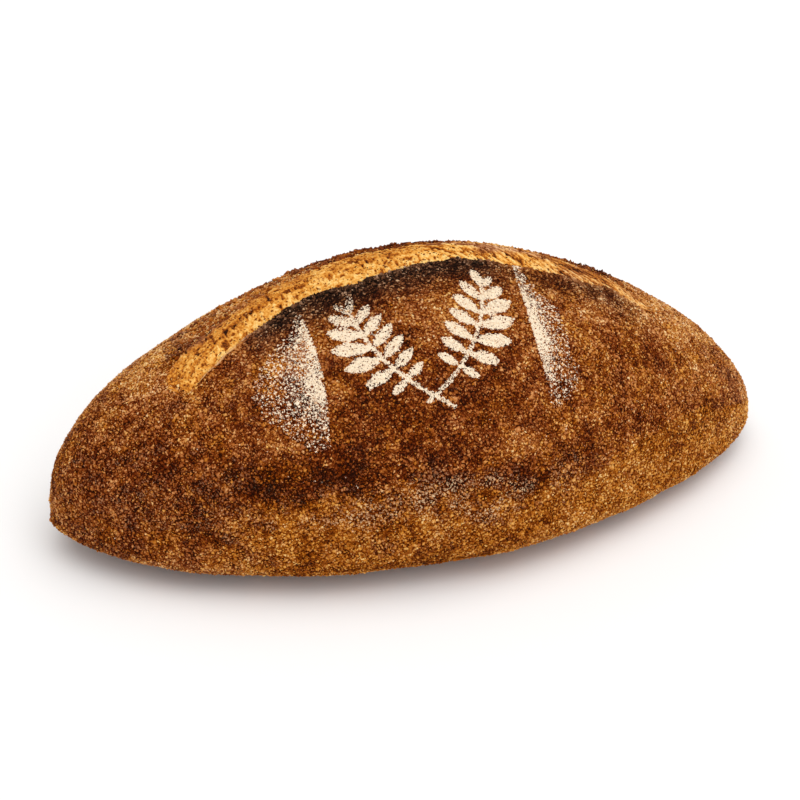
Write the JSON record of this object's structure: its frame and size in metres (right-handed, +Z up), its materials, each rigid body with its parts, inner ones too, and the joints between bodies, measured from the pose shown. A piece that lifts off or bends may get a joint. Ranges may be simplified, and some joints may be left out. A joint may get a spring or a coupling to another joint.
{
  "type": "whole wheat sourdough loaf",
  "caption": "Long whole wheat sourdough loaf with pointed ends, a bran-crusted brown body, one score with a raised lip and golden bloom, and stencilled flour sprigs.",
  "frame": {"origin": "Middle of the loaf's length and width, on the surface it rests on.", "axes": "+X along the loaf to its narrower right end as seen from the front, -Y towards the front with the lip of the score and the flour sprigs, +Z up."},
  "size_m": [0.3, 0.1532, 0.1046],
  "materials": {
    "crust": "matte"
  },
  "bodies": {
    "root": {"loaf": "crust"}
  },
  "joints": []
}
